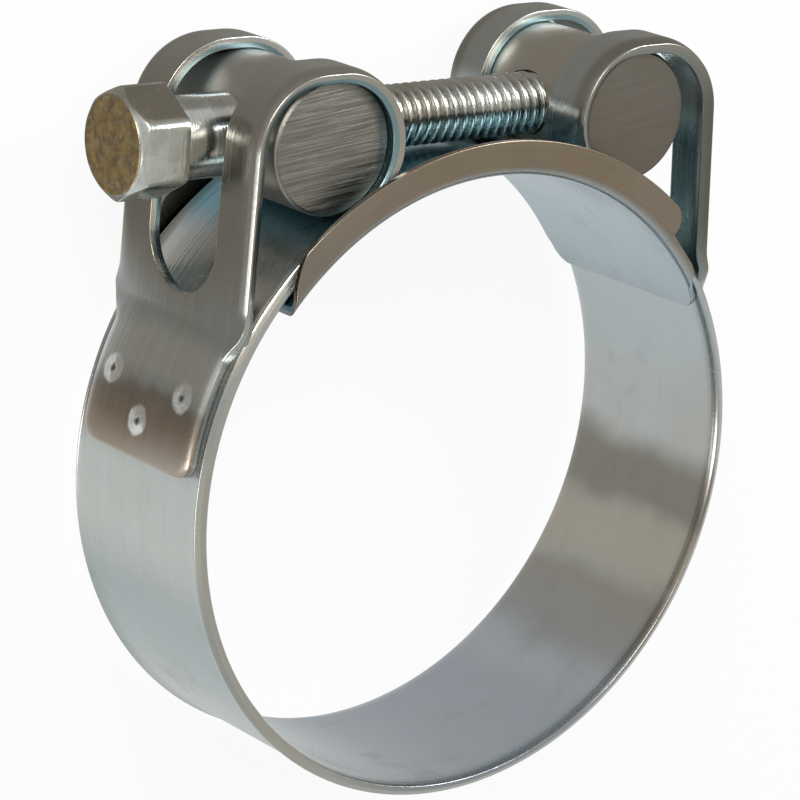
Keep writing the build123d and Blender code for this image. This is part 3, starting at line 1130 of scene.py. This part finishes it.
def new_material(name: str) -> tuple[Material, Graph]:
    """Makes a material without nodes.

    Args:
        name: Its name.

    Returns:
        The material and a graph on it.
    """
    made = bpy.data.materials.new(name)
    made.use_nodes = True
    made.node_tree.nodes.clear()
    return made, Graph(made.node_tree)


class GroupKit:
    """The node groups that the finishes share, each built once."""

    def __init__(self) -> None:
        """Builds the groups."""
        self.streaks = self._streaks()
        self.clouds = self._clouds()
        self.scratches = self._scratches()
        self.welds = self._welds()

    @staticmethod
    def _new(name: str, outputs: Sequence[str], **inputs: float) -> tuple[Graph, NodeOutputs, NodeInputs]:
        """Makes an empty group that takes a vector and numbers and puts out numbers.

        Args:
            name: The group's name.
            outputs: The names of its outputs.
            inputs: Its numbers by name, with underscores for spaces.

        Returns:
            A graph on the group, what is given to it, and what it puts out.
        """
        tree = bpy.data.node_groups.new(name, "ShaderNodeTree")
        tree.interface.new_socket("Vector", in_out="INPUT", socket_type="NodeSocketVector")
        number = "NodeSocketFloat"
        for key, value in inputs.items():
            made = tree.interface.new_socket(key.replace("_", " "), in_out="INPUT", socket_type=number)
            made.default_value = value
        for key in outputs:
            tree.interface.new_socket(key, in_out="OUTPUT", socket_type=number)
        graph = Graph(tree)
        return graph, graph.node("NodeGroupInput").outputs, graph.node("NodeGroupOutput").inputs

    def _streaks(self) -> NodeTree:
        """Fine lines drawn out along the first direction: two noises, squeezed across it.

        Returns:
            The group's node tree.
        """
        graph, given, out = self._new("drawn_streaks", ["Value"], Along=30.0, Across=2500.0, Fine_Share=0.6)
        along, across, share = given["Along"], given["Across"], given["Fine Share"]
        fine = graph.noise(graph.scale(given["Vector"], (along, across, across)), 1.0, 3.0)
        along, across = graph.times(along, 0.5), graph.times(across, 0.22)
        wide = graph.noise(graph.scale(given["Vector"], (along, across, across)), 1.0, 2.0)
        total = graph.plus(graph.times(fine, share), graph.times(wide, graph.minus(1.0, share)))
        graph.feed(out["Value"], graph.ramp(total, 0.3, 0.7))
        return graph.tree

    def _clouds(self) -> NodeTree:
        """Soft patches: a noise, eased between two marks.

        Returns:
            The group's node tree.
        """
        graph, given, out = self._new("cloudy_patches", ["Mask"], Scale=60.0, Low=0.4, High=0.65)
        value = graph.noise(given["Vector"], given["Scale"], 4.0, 0.6)
        graph.feed(out["Mask"], graph.ramp(value, given["Low"], given["High"]))
        return graph.tree

    def _scratches(self) -> NodeTree:
        """Sparse hairline scratches: thin bands of a stretched noise at its middle value.

        Returns:
            The group's node tree.
        """
        graph, given, out = self._new("hairline_scratches", ["Mask"], Scale=120.0, Width=0.012)
        lines = graph.noise(graph.scale(given["Vector"], (1.0, 5.0, 2.0)), given["Scale"], 1.0)
        line = graph.fall(graph.size(graph.minus(lines, 0.5)), 0.0, given["Width"])
        present = graph.noise(given["Vector"], graph.times(given["Scale"], 0.7), 2.0)
        graph.feed(out["Mask"], graph.times(line, graph.ramp(present, 0.5, 0.62)))
        return graph.tree

    def _welds(self) -> NodeTree:
        """Spot welds on the strip's map: a dish of painted shade inside each spot, and a ring of painted
        highlight round it.

        The distance from a spot is the root of the summed squares of the distances along and
        across, both mirrored so that the spots of both ends and sides are one.

        Returns:
            The group's node tree.
        """
        graph, given, out = self._new("spot_welds", ["Dish", "Ring", "Height"], Pair_Along=0.0,
                                      Single_Along=0.0, Pair_Across=0.0, Radius=1.0)
        along, across, depth = graph.split(given["Vector"])
        along, across = graph.size(along), graph.size(across)
        spots = ((given["Pair Along"], given["Pair Across"]), (given["Single Along"], 0.0))
        away = [graph.hypot(graph.minus(along, place), graph.minus(across, side)) for place, side in spots]
        nearest = graph.math("MINIMUM", *(graph.math("DIVIDE", spot, given["Radius"]) for spot in away))
        uneven = graph.times(graph.minus(graph.noise(given["Vector"], 700.0, 2.0), 0.5), 0.35)
        nearest = graph.plus(nearest, uneven)
        # Painted shade in each weld's dish and a painted highlight ring round it; the dish also shapes the
        # bump.
        shaded_dish = graph.fall(nearest, 0.08, 0.42)
        highlight_ring = graph.times(graph.ramp(nearest, 0.12, 0.4), graph.fall(nearest, 0.95, 1.25))
        height = graph.minus(graph.fall(nearest, 0.1, 1.2), graph.times(shaded_dish, 0.6))
        front = graph.math("LESS_THAN", depth, WELD_FACE_DEPTH)
        for key, value in (("Dish", shaded_dish), ("Ring", highlight_ring), ("Height", height)):
            graph.feed(out[key], graph.times(value, front))
        return graph.tree

    @staticmethod
    def put(graph: Graph, tree: NodeTree, **values: Value) -> NodeOutputs:
        """Puts a group into a material; its inputs are by name, with underscores for spaces."""
        given = {key.replace("_", " "): value for key, value in values.items()}
        return graph.node("ShaderNodeGroup", given, node_tree=tree).outputs


@dataclass(frozen=True)
class PaintedReflection:
    """A band of painted reflection across the strip, or on its rolled edges alone: a light or dark tint
    that stands in for the surroundings mirrored there.

    Where it is along the strip and how wide are in mm.
    """

    middle: float
    half_width: float
    colour: str
    strength: float
    hose_face: bool = True
    edges: bool = False


def both_ends(middle: float, half_width: float, colour: str, strength: float) -> tuple[PaintedReflection, PaintedReflection]:
    """The same painted reflection on both halves of the strip."""
    return tuple(PaintedReflection(side.value * middle, half_width, colour, strength) for side in (Side.TIP, Side.HEAD))


REFLECTION_CORE = 0.4
REFLECTION_REACH = 1.3
REFLECTION_WARP = 7 * MM
# Painted reflections on the band: light, bluish, teal, brown and dark tints in place of the surroundings
# mirrored in the plating.
RING_REFLECTIONS = (
    PaintedReflection(96.0, 28.0, "bcc8ce", 0.7),
    PaintedReflection(53.8, 5.5, "797166", 0.8),
    PaintedReflection(45.0, 5.0, "a59988", 0.7),
    PaintedReflection(34.0, 7.5, "7f7466", 0.75),
    PaintedReflection(8.0, 26.0, "8f949d", 0.75),
    PaintedReflection(-70.0, 14.0, "95a7b6", 0.3, hose_face=False),
    PaintedReflection(-43.0, 10.0, "92a9af", 0.3, hose_face=False),
    PaintedReflection(-62.0, 9.0, "dddcd3", 0.55, hose_face=False),
    *both_ends(177.5, 3.5, "dcdcd8", 0.6),
    *both_ends(155.0, 15.0, "9f988b", 0.65),
    *both_ends(183.6, 2.0, "5f5c58", 0.6),
    *both_ends(187.0, 5.0, "b19c89", 0.75),
    PaintedReflection(160.0, 13.0, "9ccbdb", 0.9, hose_face=False),
    PaintedReflection(-160.0, 13.0, "55727d", 0.85, hose_face=False),
    PaintedReflection(127.0, 24.0, "6d9dac", 0.7, hose_face=False),
    PaintedReflection(-101.5, 5.2, "74a9bb", 0.85, hose_face=False),
    PaintedReflection(-86.0, 7.0, "d8d1c3", 0.6, hose_face=False),
    PaintedReflection(127.0, 22.0, "9a968f", 0.8, edges=True),
    PaintedReflection(-137.0, 32.0, "aeaba4", 0.7, edges=True),
    PaintedReflection(158.0, 16.0, "66645f", 0.85, edges=True),
    PaintedReflection(-127.0, 24.0, "6d9dac", 0.7, hose_face=False),
)
# Painted reflections on the bridge: pale blue inside, and teal on top in place of the dark surroundings
# mirrored there.
PLATE_REFLECTIONS = (
    PaintedReflection(20.0, 34.0, "b7c3c9", 0.95),
    PaintedReflection(-20.0, 20.0, "b7c3c9", 0.9),
    PaintedReflection(0.0, 60.0, "78a6b8", 0.85, hose_face=False),
)


@dataclass(frozen=True)
class Grain:
    """Marks of working: what they follow, how fine they are, and the finer noise's share."""

    follows: str
    along: float = 26.0
    across: float = 2600.0
    fine: float = 0.6


class Pattern(Enum):
    """The kinds of marks of working."""

    STRIP = Grain("along the strip")
    SAWN = Grain("straight across the end faces", 130.0, 4200.0, 0.88)
    TURNED = Grain("round the bolt's axis")


@dataclass(frozen=True)
class Patches:
    """Soft patches of a tint: their scale over the finish's own, and where they fade in."""

    scale: float
    low: float
    high: float


WARM_PATCHES = Patches(1.0, 0.42, 0.68)
COOL_PATCHES = Patches(0.6, 0.45, 0.7)
GRIME_PATCHES = Patches(5.0, 0.52, 0.75)


@dataclass
class Surface:
    """What a material's nodes have worked out so far, on the graph that holds them."""

    graph: Graph
    place: NodeSocket
    shifted: NodeSocket
    follow: NodeSocket
    colour: Value
    rough: Value
    height: Value

    def tint(self, mask: Value, share: float, colour: Value) -> None:
        """Lays a colour over the surface's own, by a mask and a share of it."""
        self.colour = self.graph.blend(self.graph.times(mask, share), self.colour, colour)

    def roughen(self, mask: Value, amount: float) -> None:
        """Adds to the roughness, by a mask."""
        self.rough = self.graph.plus(self.rough, self.graph.times(mask, amount))

    def lift(self, mask: Value, amount: Value) -> None:
        """Adds to the height, by a mask."""
        self.height = self.graph.plus(self.height, self.graph.times(mask, amount))


@dataclass(frozen=True)
class SteelFinish:
    """A plated steel finish with drawn streaks, cloudy tints, scratches and grime, and on some pieces
    painted reflections, highlights and shade.
    """

    slot: str
    base: str
    warm: str
    cool: str
    grime: str
    roughness: float
    streak_depth: float
    patch_scale: float
    pattern: Pattern
    warm_share: float = 0.5
    cool_share: float = 0.35
    grime_share: float = 0.3
    grime_roughness: float = 0.12
    streak_colour: float = 0.25
    streak_middle: float = 0.5
    bump: float = 0.02
    bump_strength: float = 0.7
    scratch_depth: float = 0.4
    welded: bool = False
    reflections: tuple[PaintedReflection, ...] = ()
    reflection_edge: float = 20.0 * MM
    reflection_fade: float = 1.5 * MM
    thickness: float = 1.5 * MM
    worn_face: float | None = None
    side: str | None = None
    side_share: float = 0.8
    side_streak: float = 0.8

    def follow(self, graph: Graph, place: NodeSocket) -> NodeSocket:
        """Coordinates whose first part runs along the marks of working.

        For turned marks they are next to nothing along, the bolt's X across, and the distance
        from the bolt's axis.

        Args:
            graph: The material's graph.
            place: Object coordinates.

        Returns:
            The strip's own map, or the object coordinates turned to suit.
        """
        if self.pattern is Pattern.STRIP:
            return graph.node("ShaderNodeAttribute", attribute_name=STRIP_MAP).outputs["Vector"]
        if self.pattern is Pattern.SAWN:
            return graph.node("ShaderNodeMapping", {"Vector": place, "Rotation": SAW_TURN}).outputs[0]
        x, y, z = graph.split(place)
        up = graph.minus(y, SIZES.bolt_height)
        rings = {0: graph.math("ARCTAN2", up, z), 1: x, 2: graph.hypot(up, z)}
        return graph.scale(graph.node("ShaderNodeCombineXYZ", rings).outputs[0], (0.005, 1.0, 1.0))

    def patches(self, graph: Graph, kit: GroupKit, place: NodeSocket, kind: Patches) -> NodeSocket:
        """Mask of one kind of patches."""
        return kit.put(graph, kit.clouds, Vector=place, Scale=self.patch_scale * kind.scale,
                       Low=kind.low, High=kind.high)["Mask"]

    def material(self, kit: GroupKit) -> Material:
        """Builds the material.

        Args:
            kit: The shared node groups.

        Returns:
            The material.
        """
        made, graph = new_material(f"{self.slot}_finish")
        place, grain = graph.place(), self.pattern.value
        shifted = graph.node("ShaderNodeMapping", {"Vector": place, "Location": PATCH_SHIFT}).outputs[0]
        follow = self.follow(graph, place)
        streak = kit.put(graph, kit.streaks, Vector=follow, Along=grain.along, Across=grain.across,
                         Fine_Share=grain.fine)["Value"]
        if self.side is not None:
            ends = self.end_mask(graph, place)
            streak = graph.plus(graph.times(graph.minus(streak, self.side_streak), ends), self.side_streak)
        scratches = kit.put(graph, kit.scratches, Vector=place, Scale=90.0, Width=0.010)["Mask"]
        dirt = self.patches(graph, kit, shifted, GRIME_PATCHES)
        uneven = graph.times(graph.minus(streak, self.streak_middle), self.streak_depth)
        scored = graph.times(scratches, self.bump * self.scratch_depth)
        surface = Surface(
            graph, place, shifted, follow, linear(self.base), graph.plus(uneven, self.roughness),
            graph.minus(graph.times(streak, self.bump), scored),
        )
        surface.roughen(dirt, self.grime_roughness)
        surface.tint(self.patches(graph, kit, place, WARM_PATCHES), self.warm_share, linear(self.warm))
        surface.tint(self.patches(graph, kit, shifted, COOL_PATCHES), self.cool_share, linear(self.cool))
        surface.tint(dirt, self.grime_share, linear(self.grime))
        if self.reflections:
            self.paint_reflections(surface)
        if self.side is not None:
            surface.tint(graph.minus(1.0, ends), self.side_share, linear(self.side))
        surface.tint(graph.minus(1.0, streak), self.streak_colour, linear(self.grime))
        if self.welded:
            self.lay_welds(surface, kit)
        if self.worn_face is not None:
            self.shade_and_wear_bolt(surface)
        bump = {"Strength": self.bump_strength, "Distance": MM, "Height": surface.height}
        shader = graph.node("ShaderNodeBsdfPrincipled", {
            "Metallic": 1.0, "Base Color": surface.colour, "Roughness": surface.rough,
            "Normal": graph.node("ShaderNodeBump", bump).outputs[0],
        })
        graph.node("ShaderNodeOutputMaterial", {"Surface": shader.outputs[0]})
        return made

    def paint_reflections(self, surface: Surface) -> None:
        """Paints the reflections on the colour, their borders warped by a noise.

        A painted reflection's share falls from full in its middle to none past its half width. It fades
        before the sheet's edges, or, for one of the edges, shows on the rolled edges alone.

        Args:
            surface: The surface to paint.
        """
        graph = surface.graph
        along, across, depth = graph.split(surface.follow)
        warp = graph.times(graph.minus(graph.noise(surface.follow, 60.0, 3.0), 0.5), REFLECTION_WARP)
        along, across = graph.plus(along, warp), graph.size(across)
        middle = graph.fall(across, self.reflection_edge - self.reflection_fade, self.reflection_edge)
        lips = graph.ramp(across, SIZES.strip_flat - 0.5 * MM, SIZES.strip_flat + 0.9 * MM)
        hose_face = graph.math("LESS_THAN", depth, self.thickness / 2)
        other_face = graph.minus(1.0, hose_face)
        faces = {True: graph.times(middle, hose_face), False: graph.times(middle, other_face)}
        for reflection in self.reflections:
            away = graph.size(graph.minus(along, reflection.middle * MM))
            core, reach = (reflection.half_width * MM * share for share in (REFLECTION_CORE, REFLECTION_REACH))
            where = lips if reflection.edges else faces[reflection.hose_face]
            share = graph.times(graph.fall(away, core, reach), where)
            # Painted reflection: the tint stands in for light or dark surroundings mirrored here.
            surface.tint(share, reflection.strength, linear(reflection.colour))

    @staticmethod
    def end_mask(graph: Graph, place: NodeSocket) -> NodeSocket:
        """Mask of the barrels' end faces, from how far Z is from the middle."""
        end = SIZES.barrel_half_length
        return graph.ramp(graph.size(graph.split(place)[2]), end - 0.25 * MM, end - 0.08 * MM)

    @staticmethod
    def lay_welds(surface: Surface, kit: GroupKit) -> None:
        """Places the spot welds on the tails.

        Args:
            surface: The band's surface.
            kit: The shared node groups.
        """
        end = float(StripPath(SIZES).starts[8])
        pair, single = (end - (SIZES.tail_end_angle - angle) * SIZES.tail_radius
                        for angle in (SIZES.weld_pair_angle, SIZES.weld_single_angle))
        spots = kit.put(surface.graph, kit.welds, Vector=surface.follow, Pair_Along=pair,
                        Single_Along=single, Pair_Across=SIZES.weld_spacing / 2,
                        Radius=SIZES.weld_radius)
        # Painted highlight round each weld.
        surface.tint(spots["Ring"], 0.9, linear("ececea"))
        # Painted shade in each weld's dish.
        surface.tint(spots["Dish"], 0.8, linear("4a4845"))
        surface.lift(spots["Height"], 0.55)

    def shade_and_wear_bolt(self, surface: Surface) -> None:
        """Paints shade into the thread's roots and onto the head's upper flat, and wears the head's face.

        The roots' mask is full below the crests and none on the tip's chamfer. The side's mask
        is full where the distance from the axis along the side's normal is nearly the head's
        inradius. The face's mask follows X.

        Args:
            surface: The bolt's surface.
        """
        graph, place = surface.graph, surface.place
        x, y, z = graph.split(place)
        crest, tip, face = SIZES.shank_radius, SIZES.tip_end, self.worn_face
        # Painted shade in the thread's roots.
        root_shade = graph.fall(graph.split(surface.follow)[2], crest - 0.7 * MM, crest - 0.2 * MM)
        behind = graph.fall(x, tip - 1.4 * MM, tip - 1.1 * MM)
        surface.tint(graph.times(root_shade, behind), 0.2, linear("4a484e"))
        # Painted shade on the head's upper flat.
        shaded_flat_normal = SIZES.head_turn + FLAT_ANGLE
        up = graph.times(graph.minus(y, SIZES.bolt_height), math.sin(shaded_flat_normal))
        flat = SIZES.head_inradius
        side = graph.plus(up, graph.times(z, math.cos(shaded_flat_normal)))
        surface.tint(graph.ramp(side, flat - 0.14 * MM, flat - 0.04 * MM), 1.0, linear("a8a296"))
        worn = graph.fall(x, face + 0.03 * MM, face + 0.16 * MM)
        mottle = graph.ramp(graph.noise(place, 620.0, 5.0, 0.65), 0.36, 0.64)
        pale = graph.times(graph.ramp(graph.noise(surface.shifted, 900.0, 4.0, 0.6), 0.56, 0.7), 0.7)
        gold = graph.blend(mottle, linear("9c8b70"), linear("cfb47e"))
        surface.tint(worn, 1.0, graph.blend(pale, gold, linear("d2ccba")))
        surface.roughen(worn, 0.12)
        surface.lift(worn, graph.times(graph.noise(place, 520.0, 5.0, 0.6), 0.45))


class Finishes(Enum):
    """The finishes of the clamp's pieces."""

    BAND = SteelFinish(
        "band_steel", "c0c1be", "b3a797", "b0bdc5", "8a857c", 0.25, 0.10, 30.0, Pattern.STRIP,
        warm_share=0.4, grime_share=0.2, streak_colour=0.10, welded=True, reflections=RING_REFLECTIONS)
    BRIDGE = SteelFinish(
        "bridge_steel", "9c9186", "8b7a65", "858987", "615a4e", 0.25, 0.10, 30.0, Pattern.STRIP,
        grime_share=0.2, streak_colour=0.08, reflections=PLATE_REFLECTIONS, reflection_edge=16.4 * MM,
        thickness=SIZES.bridge_thickness)
    SAWN_BARREL = SteelFinish(
        "barrel_steel", "969590", "8c8579", "868c8d", "524f49", 0.36, 0.14, 90.0, Pattern.SAWN,
        grime_share=0.2, streak_colour=0.5, bump=0.03, side="c4c0b9")
    PLAIN_BARREL = SteelFinish(
        "barrel_steel", "7e7972", "7a7061", "727570", "56514a", 0.36, 0.06, 90.0, Pattern.SAWN,
        grime_share=0.25, streak_colour=0.08, bump=0.004, side="cbc5bb")
    SPACER = SteelFinish(
        "spacer_steel", "dadddb", "b0a48f", "aab8bd", "807a70", 0.20, 0.06, 110.0, Pattern.TURNED)
    BOLT = SteelFinish(
        "bolt_steel", "dfe1de", "b4aa96", "a3b3b5", "77736a", 0.20, 0.06, 140.0, Pattern.TURNED,
        worn_face=SIZES.head_end)


@dataclass(frozen=True)
class Lamp:
    """A square soft light that looks at the clamp."""

    name: str
    place: tuple[float, float, float]
    size: float
    power: float
    colour: tuple[float, float, float]

    def build(self, target: Vector) -> None:
        """Adds the lamp.

        Args:
            target: The point that it looks at.
        """
        data = bpy.data.lights.new(self.name, "AREA")
        data.shape, data.size, data.energy, data.color = "SQUARE", self.size, self.power, self.colour
        made = new_object(self.name, data)
        made.location = Vector(self.place)
        made.rotation_euler = (target - Vector(self.place)).to_track_quat("-Z", "Y").to_euler()


@dataclass(frozen=True)
class Studio:
    """Pale floor, soft lamps, white surroundings and the camera of the photograph."""

    floor_height: float
    azimuth: float = 0.663491
    elevation: float = 0.283003
    roll: float = 0.060338
    distance: float = 514.39 * MM
    focal_ratio: float = 4040.2 / 800
    shift_right: float = 1.002 * MM
    shift_up: float = -6.411 * MM
    sensor: float = 36.0
    floor_size: float = 6.0
    floor_points: int = 9
    lamps: tuple[Lamp, ...] = (
        Lamp("key_softbox", (-0.28, 0.42, 0.38), 0.30, 2.4, (1.0, 0.97, 0.93)),
        Lamp("low_softbox", (-0.60, -0.12, 0.06), 0.22, 0.85, (0.96, 0.98, 1.0)),
        Lamp("rim_softbox", (0.36, 0.30, 0.38), 0.20, 1.6, (0.95, 0.98, 1.0)),
    )

    def build_camera(self) -> None:
        """Adds the camera.

        The direction to the camera is minus sine of azimuth times cosine of elevation, sine of
        elevation, and cosine of both. Its right and up axes are turned by the roll.
        """
        level = math.cos(self.elevation)
        back = Vector((-math.sin(self.azimuth) * level, math.sin(self.elevation),
                       math.cos(self.azimuth) * level))
        right = (-back).cross(Vector((0, 1, 0))).normalized()
        up = right.cross(-back)
        cosine, sine = math.cos(self.roll), math.sin(self.roll)
        right, up = right * cosine + up * sine, up * cosine - right * sine
        data = bpy.data.cameras.new("photo_camera")
        data.sensor_fit, data.sensor_width = "HORIZONTAL", self.sensor
        data.lens = self.focal_ratio * self.sensor
        data.clip_start, data.clip_end = 0.01, 20.0
        made = new_object("photo_camera", data)
        axes = Matrix((right, up, back)).transposed().to_4x4()
        axes.translation = back * self.distance - right * self.shift_right - up * self.shift_up
        made.matrix_world = axes
        bpy.context.scene.camera = made

    def build_floor(self) -> None:
        """Adds the floor: white to the camera, and to reflections but for a painted dark reflection beyond
        the lugs, with a faint shadow.

        It is clear from below.
        """
        steps = np.linspace(-self.floor_size / 2, self.floor_size / 2, self.floor_points)
        x, y = np.meshgrid(steps, steps)
        points = np.stack([x, y, np.full_like(x, self.floor_height)], axis=2).reshape(-1, 3)
        mesh = bpy.data.meshes.new("studio_floor")
        mesh.from_pydata(points.tolist(), [], grid_faces(self.floor_points, self.floor_points))
        floor = new_object("studio_floor", mesh)
        made, graph = new_material("studio_floor_white")
        rays = graph.node("ShaderNodeLightPath").outputs
        mirrored = rays["Is Glossy Ray"]
        seen = graph.math("MAXIMUM", graph.times(rays["Is Camera Ray"], 0.92), graph.times(mirrored, 0.95))
        pale = graph.blend(mirrored, WHITE, linear("e2e7e8"))
        # Painted dark reflection: beyond the lugs the floor shows a dark colour to glossy rays alone.
        shown = graph.blend(graph.times(self.dark_reflection_mask(graph), mirrored), pale, linear("8d8a83"))
        paint = graph.node("ShaderNodeBsdfDiffuse", {"Color": (0.82, 0.82, 0.82, 1.0)})
        above = graph.mix(seen, paint, graph.node("ShaderNodeEmission", {"Color": shown}))
        below = graph.node("ShaderNodeNewGeometry").outputs["Backfacing"]
        sides = graph.mix(below, above, graph.node("ShaderNodeBsdfTransparent"))
        graph.node("ShaderNodeOutputMaterial", {"Surface": sides.outputs[0]})
        floor.data.materials.append(made)

    @staticmethod
    def dark_reflection_mask(graph: Graph) -> NodeSocket:
        """Mask of a painted dark reflection, a patch of the floor beyond the clamp's lugs that shows in
        reflections only.

        It is full where Y is past the patch's edge and outside the ring's circle.

        Args:
            graph: The floor material's graph.

        Returns:
            The mask.
        """
        x, y, _ = graph.split(graph.place())
        outside = graph.ramp(graph.hypot(x, y), 42 * MM, 50 * MM)
        return graph.times(outside, graph.ramp(y, 0 * MM, 9 * MM))

    @staticmethod
    def build_world() -> None:
        """Sets the surroundings: white to the camera, and a plain grey light on the clamp."""
        world = bpy.data.worlds.new("studio_world")
        world.use_nodes = True
        world.node_tree.nodes.clear()
        graph = Graph(world.node_tree)
        rays = graph.node("ShaderNodeLightPath").outputs
        way = graph.split(graph.node("ShaderNodeTexCoord").outputs["Generated"])
        room = graph.blend(graph.ramp(way[2], 0.12, 0.6), linear("d2d4d3"), linear("cdcac1"))
        seen = graph.math("MAXIMUM", rays["Is Camera Ray"], rays["Is Transmission Ray"])
        colour = graph.blend(rays["Is Glossy Ray"], (0.42, 0.43, 0.44, 1.0), room)
        surround = graph.node("ShaderNodeBackground", {"Color": graph.blend(seen, colour, WHITE)})
        graph.node("ShaderNodeOutputWorld", {"Surface": surround.outputs[0]})
        bpy.context.scene.world = world

    def build(self, target: Vector) -> None:
        """Builds the whole studio.

        Args:
            target: The middle of the clamp.
        """
        bpy.context.scene.view_settings.view_transform = "Standard"
        self.build_camera()
        self.build_floor()
        self.build_world()
        for lamp in self.lamps:
            lamp.build(target)


@dataclass(frozen=True)
class Piece:
    """One piece of the clamp: its builder, the CAD node it stands for, its body and finish."""

    node: str
    body: str
    maker: Band | Bridge | Barrel | Spacer | Bolt
    finish: Finishes

    def build(self, kit: GroupKit) -> None:
        """Builds, dresses and joins the piece to its body.

        Args:
            kit: The shared node groups.
        """
        made = self.maker.build()
        made.data.materials.clear()
        made.data.materials.append(self.finish.value.material(kit))
        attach(made, self.body)
        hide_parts(self.node)
        log.info("%s: %d points, %d faces", made.name, len(made.data.vertices), len(made.data.polygons))


def main() -> None:
    """Builds the clamp's pieces and the studio."""
    pieces = (
        Piece("band", "clamp", Band(SIZES), Finishes.BAND),
        Piece("bridge", "clamp", Bridge(SIZES), Finishes.BRIDGE),
        Piece("plain_barrel", "clamp", Barrel(SIZES, Side.HEAD), Finishes.SAWN_BARREL),
        Piece("threaded_barrel", "clamp", Barrel(SIZES, Side.TIP), Finishes.PLAIN_BARREL),
        Piece("spacer", "spacer", Spacer(SIZES), Finishes.SPACER),
        Piece("bolt", "bolt", Bolt(SIZES), Finishes.BOLT),
    )
    kit = GroupKit()
    for piece in pieces:
        piece.build(kit)
    low, high = CAD_BOX
    Studio(floor_height=low[2] - 0.05 * MM).build((low + high) / 2)


if __name__ == "__main__":
    main()
